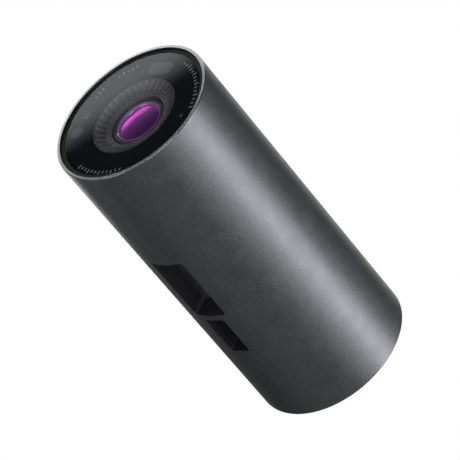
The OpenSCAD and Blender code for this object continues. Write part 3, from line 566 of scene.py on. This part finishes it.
def dockPlate():
    # a rounded outline drawn in by the edge's arc at both faces, closed at the middle
    centre, half = wells[0]["centre"], wells[0]["half"] - seatGap
    outline, way = roundedOutline(half, wells[0]["radius"] - seatGap, plate["perCorner"], plate["perSide"])
    outline, f, low, high = outline + centre, plate["edgeFillet"], plateLow[2], plateHigh[2]
    inset, turns = -f * (1 + plate["beyond"]), np.linspace(0, np.pi / 2, 5)
    edge = [(inset, low)] + [(-f + f * np.sin(a), low + f - f * np.cos(a)) for a in turns]
    edge += [(-f + f * np.cos(a), high - f + f * np.sin(a)) for a in turns] + [(inset, high)]
    rings = [np.concatenate([outline + way * reach, np.full((len(outline), 1), z)], 1) for reach, z in edge]
    ends = [np.tile([*centre, z], (len(outline), 1)) for z in (low, high)]
    rings = np.stack([ends[0], *rings, ends[1]])
    faces = gridQuads(len(rings), len(outline), False, True)
    return makePiece("dockPlate", [(rings, faces, 0)], "camera_body", "dock_metal", ["dock_plate"])


dockPlate()

# rear cap with the inlet's opening
rearCap = dict(fillet=0.18, skirtR=19.1, skirtWall=0.5, openHalf=(4.77, 1.93), openR=1.92, perCorner=12,
               perSide=24, spread=(0.08, 0.3, 0.65, 0.97))


def rearCapPiece():
    # rings run up the opening's wall, over its arc, out across the face to the rim's arc, down the side and
    # back
    low, high = depthBox("rear_cap")
    outer, front, back, f = high[0], low[1], high[1], rearCap["fillet"]
    outline, way = roundedOutline(rearCap["openHalf"], rearCap["openR"], rearCap["perCorner"],
                                  rearCap["perSide"])
    circle = outline / np.linalg.norm(outline, axis=1, keepdims=True)
    step, turns = back - capThick, np.linspace(0, np.pi / 2, 5)
    plans = [(outline, step), (outline, back - 2 * f)]
    plans += [(outline + way * f * (1 - np.cos(a)), back - f + f * np.sin(a)) for a in turns]
    plans += [((outline + way * f) * (1 - t) + circle * (outer - f) * t, back) for t in rearCap["spread"]]
    plans += [(circle * (outer - f + f * np.sin(a)), back - f + f * np.cos(a)) for a in turns]
    skirt, inside = rearCap["skirtR"], rearCap["skirtR"] - rearCap["skirtWall"]
    side = [(outer, back - 2 * f), (outer, step), (skirt, step), (skirt, front), (inside, front)]
    plans += [(circle * r, d) for r, d in [*side, (inside, step)]]
    rings = np.stack([np.stack([plan[:, 0], np.full(len(plan), d), plan[:, 1]], -1) for plan, d in plans])
    faces = gridQuads(len(rings), len(outline), True, True)
    return makePiece("rearCap", [(rings, faces, 0)], "camera_body", "black_plastic", ["rear_cap"])


rearCapPiece()

# front: bezel, glass, printed ticks
bezel = dict(innerR=19.1, outerR=20.1, front=0.45, shelfR=18.35, shelfFront=1.55, edgeFillet=0.12,
             backFillet=0.1, shelfFillet=0.08, seatFillet=0.04)
cover = dict(radius=19.05, front=0.55, back=1.2, frontFillet=0.05, backFillet=0.03)


def bezelRing():
    # an upright wall with a shelf behind it that the glass lies on
    b = bezel
    corners = [(b["innerR"], b["front"], b["edgeFillet"]), (b["outerR"], b["front"], b["edgeFillet"]),
               (b["outerR"], bezelBack, b["backFillet"]), (b["shelfR"], bezelBack, b["backFillet"]),
               (b["shelfR"], b["shelfFront"], b["shelfFillet"]),
               (b["innerR"], b["shelfFront"], b["seatFillet"])]
    turnedPiece("bezelRing", corners, "camera_body", "bezel_black", ["bezel_ring"])


def coverGlass():
    # a flat disc with its edges just broken
    c = cover
    corners = [(0, c["front"], 0), (c["radius"], c["front"], c["frontFillet"]),
               (c["radius"], c["back"], c["backFillet"]), (0, c["back"], 0)]
    turnedPiece("coverGlass", corners, "camera_body", "cover_glass", ["front_glass"])


bezelRing()
coverGlass()

ticks = dict(innerR=17.1, longR=18.3, shortR=17.9, width=0.42, pitch=4.2, front=1.22, back=1.25,
             arcs=((151, 161), (118, 136), (7, 67), (243, 292)))


def printedTicks():
    # small boxes between two radii at even turns along each arc; every third one is longer
    arcs = [np.arange(a, b + 0.1, ticks["pitch"]) for a, b in ticks["arcs"]]
    turns, number = np.radians(np.concatenate(arcs)), np.concatenate([np.arange(len(arc)) for arc in arcs])
    outer = np.where(number % 3 == 0, ticks["longR"], ticks["shortR"])
    corner = np.array([[0, -1, 0], [0, 1, 0], [1, 1, 0], [1, -1, 0],
                       [0, -1, 1], [0, 1, 1], [1, 1, 1], [1, -1, 1]])
    along = ticks["innerR"] + corner[None, :, 0] * (outer - ticks["innerR"])[:, None]
    across = corner[None, :, 1] * ticks["width"] / 2 + np.zeros_like(along)
    depth = ticks["front"] + corner[None, :, 2] * (ticks["back"] - ticks["front"]) + np.zeros_like(along)
    c, s = np.cos(turns)[:, None], np.sin(turns)[:, None]
    pts = np.stack([along * c - across * s, depth, along * s + across * c], -1)
    sides = np.array([[0, 1, 2, 3], [4, 7, 6, 5], [0, 4, 5, 1], [1, 5, 6, 2], [2, 6, 7, 3], [3, 7, 4, 0]])
    quads = (sides[None] + 8 * np.arange(len(turns))[:, None, None]).reshape(-1, 4)
    return makePiece("printedTicks", [(pts, quads, 0)], "camera_body", "mask_black",
                     materials=[finishes["printInk"]])


printedTicks()

# fluted bowl
bowl = dict(flutes=36, rimR=11.74, ringR=11.94, throatR=7.25, topDepth=1.3, rise=1.76, back=4.06, curve=1.5,
            deep=1.1, swirl=2.8, fade=(8.4, 10.0), roundEnd=0.9, landR=11.45, darkFrom=11.62, ridge=0.36,
            chamfer=0.05, beadR=7.53, beadRise=0.16, beadWidth=0.2, perFlute=18, rows=48, crowding=1.15)


def flutedBowl():
    # depth = top + rise (1 - (1 - t)^curve) with t from rim to throat, less a bead near the throat, plus the
    # flute's cut: a leaning cosine round the ring times how deep a flute is at that radius
    count = bowl["flutes"] * bowl["perFlute"]
    t = np.linspace(0, 1, bowl["rows"]) ** bowl["crowding"]
    r = bowl["rimR"] + (bowl["throatR"] - bowl["rimR"]) * t
    bead = bowl["beadRise"] * np.exp(-((r - bowl["beadR"]) / bowl["beadWidth"]) ** 2)
    bead = bead * (r < bowl["beadR"] + 3 * bowl["beadWidth"])
    base = bowl["topDepth"] + bowl["rise"] * (1 - (1 - t) ** bowl["curve"]) - bead
    # each flute leans back by the swirl, in degrees, for every millimetre in from the rim
    turn = np.arange(count) * 2 * np.pi / count
    lean = np.radians(bowl["swirl"]) * (bowl["rimR"] - r)
    phase = (turn[None] - lean[:, None]) / (2 * np.pi) * bowl["flutes"] % 1
    ridge = bowl["ridge"]
    skewed = np.where(phase < ridge, phase / ridge, 1 + (phase - ridge) / (1 - ridge)) / 2
    cut = 0.5 + 0.5 * np.cos(2 * np.pi * skewed)
    # a flute starts with a rounded end at the land and runs out softly towards the throat
    fadeEnd, fadeStart = bowl["fade"]
    fadeIn = np.clip((r - fadeEnd) / (fadeStart - fadeEnd), 0, 1)
    fadeIn = fadeIn ** 2 * (3 - 2 * fadeIn)
    edge = np.clip((bowl["landR"] - r) / bowl["roundEnd"], 0, 1)
    depth = base[:, None] + cut * (bowl["deep"] * fadeIn * np.sqrt(1 - (1 - edge) ** 2))[:, None]
    front = np.stack([r[:, None] * np.cos(turn), depth, r[:, None] * np.sin(turn)], -1)
    closing = turnedPoints([(bowl["throatR"], bowl["back"]), (bowl["ringR"], bowl["back"]),
                            (bowl["ringR"], bowl["topDepth"] + bowl["chamfer"]),
                            (bowl["ringR"] - bowl["chamfer"], bowl["topDepth"])], count)
    pts = np.concatenate([front, closing])
    quads = gridQuads(len(pts), count, True, True).reshape(len(pts), count, 4)
    row = np.arange(len(pts))
    dark = (row >= len(front)) | (row < np.sum(r > bowl["darkFrom"]))
    parts = [(pts, quads[dark == flag].reshape(-1, 4), int(flag)) for flag in (False, True)]
    return makePiece("flutedBowl", parts, "camera_body", "flute_black", ["flute_ring"], sharp=50,
                     materials=[finishes["flute_black"], finishes["mask_black"]])


flutedBowl()

# lens, which moves with the focus group
barrel = dict(mouthR=6.47, outerR=6.95, mouth=3.30, shoulder=3.06, lipFillet=0.02, edgeFillet=0.10, step=8.35,
              tailR=6.2, tail=14.6, tailBoreR=4.82, tailFloor=9.22, sightR=3.0, sightFront=8.6, seatR=5.32,
              seatFront=6.0, ringFloor=3.9)
ring = dict(outerR=6.45, inner=3.40, outer=3.30, fillet=0.05)
lens = dict(elementR=6.1, holdR=6.12, rimDepth=3.32, domeR=50.0, apex=3.62, back=5.4, bandIn=5.3, groove=0.12,
            grooveWidth=0.07, capGap=0.12, coneStart=0.05, rimChamfer=0.04, rimDrop=0.03,
            backDome=((4.6, 0), (3.0, 0.4), (1.5, 0.6), (0, 0.7)), capRows=26, columns=128)


def lensBarrelRing():
    # a stepped tube: wide round the elements, narrower at the tail, with a sight hole through its floor
    b = barrel
    outside = [(b["mouthR"], b["mouth"], b["lipFillet"]), (b["outerR"], b["shoulder"], b["edgeFillet"]),
               (b["outerR"], b["step"], b["edgeFillet"]), (b["tailR"], b["step"], 0),
               (b["tailR"], b["tail"], b["edgeFillet"])]
    inside = [(b["tailBoreR"], b["tail"], 0), (b["tailBoreR"], b["tailFloor"], 0),
              (b["sightR"], b["tailFloor"], 0), (b["sightR"], b["sightFront"], 0),
              (b["seatR"], b["sightFront"], 0), (b["seatR"], b["seatFront"], 0),
              (lens["holdR"], b["seatFront"], 0), (lens["holdR"], b["ringFloor"], 0),
              (b["mouthR"], b["ringFloor"], 0)]
    turnedPiece("lensBarrelRing", outside + inside, "focus_group", "lens_metal", ["lens_barrel"])


def retainingRing():
    # a thin ring that slopes in towards the element
    floor = barrel["ringFloor"]
    corners = [(lens["holdR"], ring["inner"], ring["fillet"]),
               (ring["outerR"], ring["outer"], ring["fillet"]),
               (ring["outerR"], floor, 0), (lens["holdR"], floor, 0)]
    turnedPiece("retainingRing", corners, "focus_group", "lens_metal", ["lens_retaining_ring"])


def frontElement():
    # a ball cap, depth = apex + R - sqrt(R^2 - r^2), then a narrow groove and a cone that rises to the rim
    inner, edge, rim, back = lens["bandIn"], lens["elementR"], lens["rimDepth"], lens["back"]
    groove, width, chamfer = lens["groove"], lens["grooveWidth"], lens["rimChamfer"]
    r = np.linspace(0, inner - lens["capGap"], lens["capRows"])
    cap = np.stack([r, lens["apex"] + lens["domeR"] - np.sqrt(lens["domeR"] ** 2 - r ** 2)], -1)
    low = cap[-1, 1] + groove
    cone = [(inner - width, low), (inner, low), (inner + lens["coneStart"], low - groove - chamfer),
            (edge - 3 * chamfer, rim + lens["rimDrop"]), (edge - chamfer, rim), (edge, rim + chamfer),
            (edge, back)]
    profile = np.concatenate([cap, cone, [(r, back - d) for r, d in lens["backDome"]]])
    count = lens["columns"]
    pts = turnedPoints(profile, count)
    quads = gridQuads(len(profile), count, False, True).reshape(len(profile) - 1, count, 4)
    band = (profile[:-1, 0] > inner) & (profile[:-1, 1] < back)
    parts = [(pts, quads[band == flag].reshape(-1, 4), int(flag)) for flag in (False, True)]
    return makePiece("frontElement", parts, "focus_group", "coated_glass", ["front_element"],
                     materials=[finishes["coated_glass"], finishes["coatedBand"]])


lensBarrelRing()
retainingRing()
frontElement()
print("stage: front made")

# camera, light, floor
view = dict(azimuth=50.22, elevation=-27.13, roll=28.90, distance=0.88636, aim=(-0.00058, -0.0009, 0.00023),
            lens=284.3, sensor=36.0)


def placeCamera():
    # back = (sin a cos e, -cos a cos e, sin e); right and up are then turned about it by the roll
    a, e, roll = (np.radians(view[k]) for k in ("azimuth", "elevation", "roll"))
    back = np.array([np.sin(a) * np.cos(e), -np.cos(a) * np.cos(e), np.sin(e)])
    level = np.array([np.cos(a), np.sin(a), 0])
    upright = np.cross(back, level)
    right = np.cos(roll) * level + np.sin(roll) * upright
    up = np.cos(roll) * upright - np.sin(roll) * level
    place = np.array(view["aim"]) + back * view["distance"]
    data = bpy.data.cameras.new("camera")
    data.lens, data.sensor_width = view["lens"], view["sensor"]
    data.clip_start, data.clip_end = 0.01, 20
    camera = bpy.data.objects.new("camera", data)
    bpy.context.scene.collection.objects.link(camera)
    turned = np.stack([right, up, back], 1)
    camera.matrix_world = Matrix([[*row, p] for row, p in zip(turned, place)] + [[0, 0, 0, 1]])
    bpy.context.scene.camera = camera
    return camera


camera = placeCamera()


def softLight(name, direction, distance, wide, long, watts, along=(0, 1, 0)):
    # an area lamp that faces the object from one direction, its long side held near one way
    away = Vector(direction).normalized()
    side = Vector(along) - away * away.dot(Vector(along))
    side.normalize()
    data = bpy.data.lights.new(name, "AREA")
    data.shape, data.size, data.size_y, data.energy = "RECTANGLE", wide, long, watts
    lamp = bpy.data.objects.new(name, data)
    bpy.context.scene.collection.objects.link(lamp)
    turned = Matrix([*zip(side.cross(away), side, away)]).to_4x4()
    lamp.matrix_world = Matrix.Translation(away * distance) @ turned
    lamp.visible_camera = False
    return lamp


lights = {
    "streak": dict(direction=(0.78, 0.57, 0.26), distance=1.6, wide=0.62, long=1.6, watts=23.5),
    "topFill": dict(direction=(0.25, 0.57, 0.78), distance=1.6, wide=0.9, long=1.6, watts=1.0),
    "leftGlow": dict(direction=(-0.25, 0.075, 0.03), distance=0.26, wide=0.07, long=0.09, watts=0.07),
    "backRim": dict(direction=(-0.44, 0.57, 0.69), distance=1.6, wide=0.5, long=1.6, watts=4),
    "frontFill": dict(direction=(0.75, -0.42, -0.50), distance=1.2, wide=1.0, long=1.0, watts=11.0,
                      along=(0, 0, 1)),
    "lowSide": dict(direction=(0.816, 0.57, -0.219), distance=1.6, wide=0.6, long=1.6, watts=3.5),
    "leftFar": dict(direction=(-0.82, 0.57, 0.06), distance=1.6, wide=0.4, long=1.6, watts=0.4),
    "leftLow": dict(direction=(-0.62, 0.25, -0.46), distance=0.26, wide=0.08, long=0.08, watts=0.015),
    "bowlGlow": dict(direction=(-0.30, -0.66, -0.70), distance=1.2, wide=0.6, long=0.6, watts=1.3,
                     along=(1, 0, 0)),
    "belowFill": dict(direction=(0.35, -0.25, -1.0), distance=1.4, wide=1.0, long=1.0, watts=0.1),
}
for name, values in lights.items():
    softLight(name, **values)

# sheets of light that the glass, the lip and the lens mirror; one without a fade is even
cards = {
    "gradientCard": dict(corners=((100, 20), (172, 20), (172, 44), (100, 44)), distance=0.42, strength=1.5,
                         fade=(-0.41, 0.82, 0.41), ramp=0.0119, shift=0.0055),
    "lowCard": dict(corners=((95, 35.5), (197, 35.5), (197, 66), (95, 66)), distance=0.5, strength=0.42),
    "rimStrip": dict(corners=((86, 14.5), (191, 13.5), (172, 21), (108, 27)), distance=0.40, strength=2.8),
    "edgeCard": dict(corners=((100, 10), (185, 10), (185, -20), (100, -20)), distance=0.42, strength=0.30),
}
widest = 0.3  # least cosine from the mirrored look, so that no corner runs far off
frontCentre = Vector((0, frontLip, 0))
look = camera.location - frontCentre
mirrorWay = Vector((-look.x, look.y, -look.z)).normalized()  # the way the flat glass sends the camera's look


def glowSheet(name, corners, distance, strength, fade=None, ramp=0.0, shift=0.0):
    # a sheet square to the mirrored look, through four points given by turn and rise before the front; where
    # it has a fade, it goes to nothing along that way over the ramp
    mesh = bpy.data.meshes.new(name)
    points = []
    for turn, rise in np.radians(corners):
        way = Vector((np.cos(rise) * np.cos(turn), -np.sin(rise), np.cos(rise) * np.sin(turn)))
        points.append(frontCentre + way * distance / max(way.dot(mirrorWay), widest))
    mesh.from_pydata(points, [], [(0, 1, 2, 3)])
    sheet = bpy.data.objects.new(name, mesh)
    bpy.context.scene.collection.objects.link(sheet)
    material = bpy.data.materials.new(name)
    material.use_nodes = True
    tree = material.node_tree
    tree.nodes.clear()
    glow = addNode(tree, "ShaderNodeEmission", {"Strength": strength})
    addNode(tree, "ShaderNodeOutputMaterial", {"Surface": glow.outputs[0]})
    if fade:
        along = Vector(fade)
        along = (along - mirrorWay * mirrorWay.dot(along)).normalized()
        start = (frontCentre + mirrorWay * distance).dot(along) + shift
        position = addNode(tree, "ShaderNodeTexCoord").outputs["Object"]
        across = addNode(tree, "ShaderNodeVectorMath", {0: position, 1: along}, operation="DOT_PRODUCT")
        level = rampAt(tree, across.outputs["Value"], start - ramp / 2, start + ramp / 2, high=strength)
        level.node.interpolation_type = "SMOOTHSTEP"
        tree.links.new(level, glow.inputs["Strength"])
    mesh.materials.append(material)
    sheet.visible_camera = False


for name, values in cards.items():
    glowSheet(name, **values)

room = dict(fill=0.025, floorHeight=-1.45, floorSize=6.0, paint=(0.80, 0.80, 0.80), clouds=(0.84, 0.84, 0.84))


def plainRoom():
    # white where the camera looks, dim for everything else, and a pale floor well below
    world = bpy.data.worlds.new("room")
    bpy.context.scene.world = world
    world.use_nodes = True
    tree = world.node_tree
    sky = tree.nodes["Background"]
    path = addNode(tree, "ShaderNodeLightPath").outputs["Is Camera Ray"]
    level = rampAt(tree, path, 0.0, 1.0, room["fill"], 1.0)
    sky.inputs["Color"].default_value = (1, 1, 1, 1)
    tree.links.new(level, sky.inputs["Strength"])
    half, z = room["floorSize"] / 2, room["floorHeight"]
    mesh = bpy.data.meshes.new("floor")
    corners = [(-half, -half, z), (half, -half, z), (half, half, z), (-half, half, z)]
    mesh.from_pydata(corners, [], [(0, 1, 2, 3)])
    floor = bpy.data.objects.new("floor", mesh)
    bpy.context.scene.collection.objects.link(floor)
    paint = makeMaterial("floorPaint", beadBlast, room["paint"], room["clouds"], 6, 0.7, 0.85, 0.1)
    mesh.materials.append(paint)


plainRoom()
bpy.context.scene.view_settings.view_transform = "Standard"
print("stage: studio made")
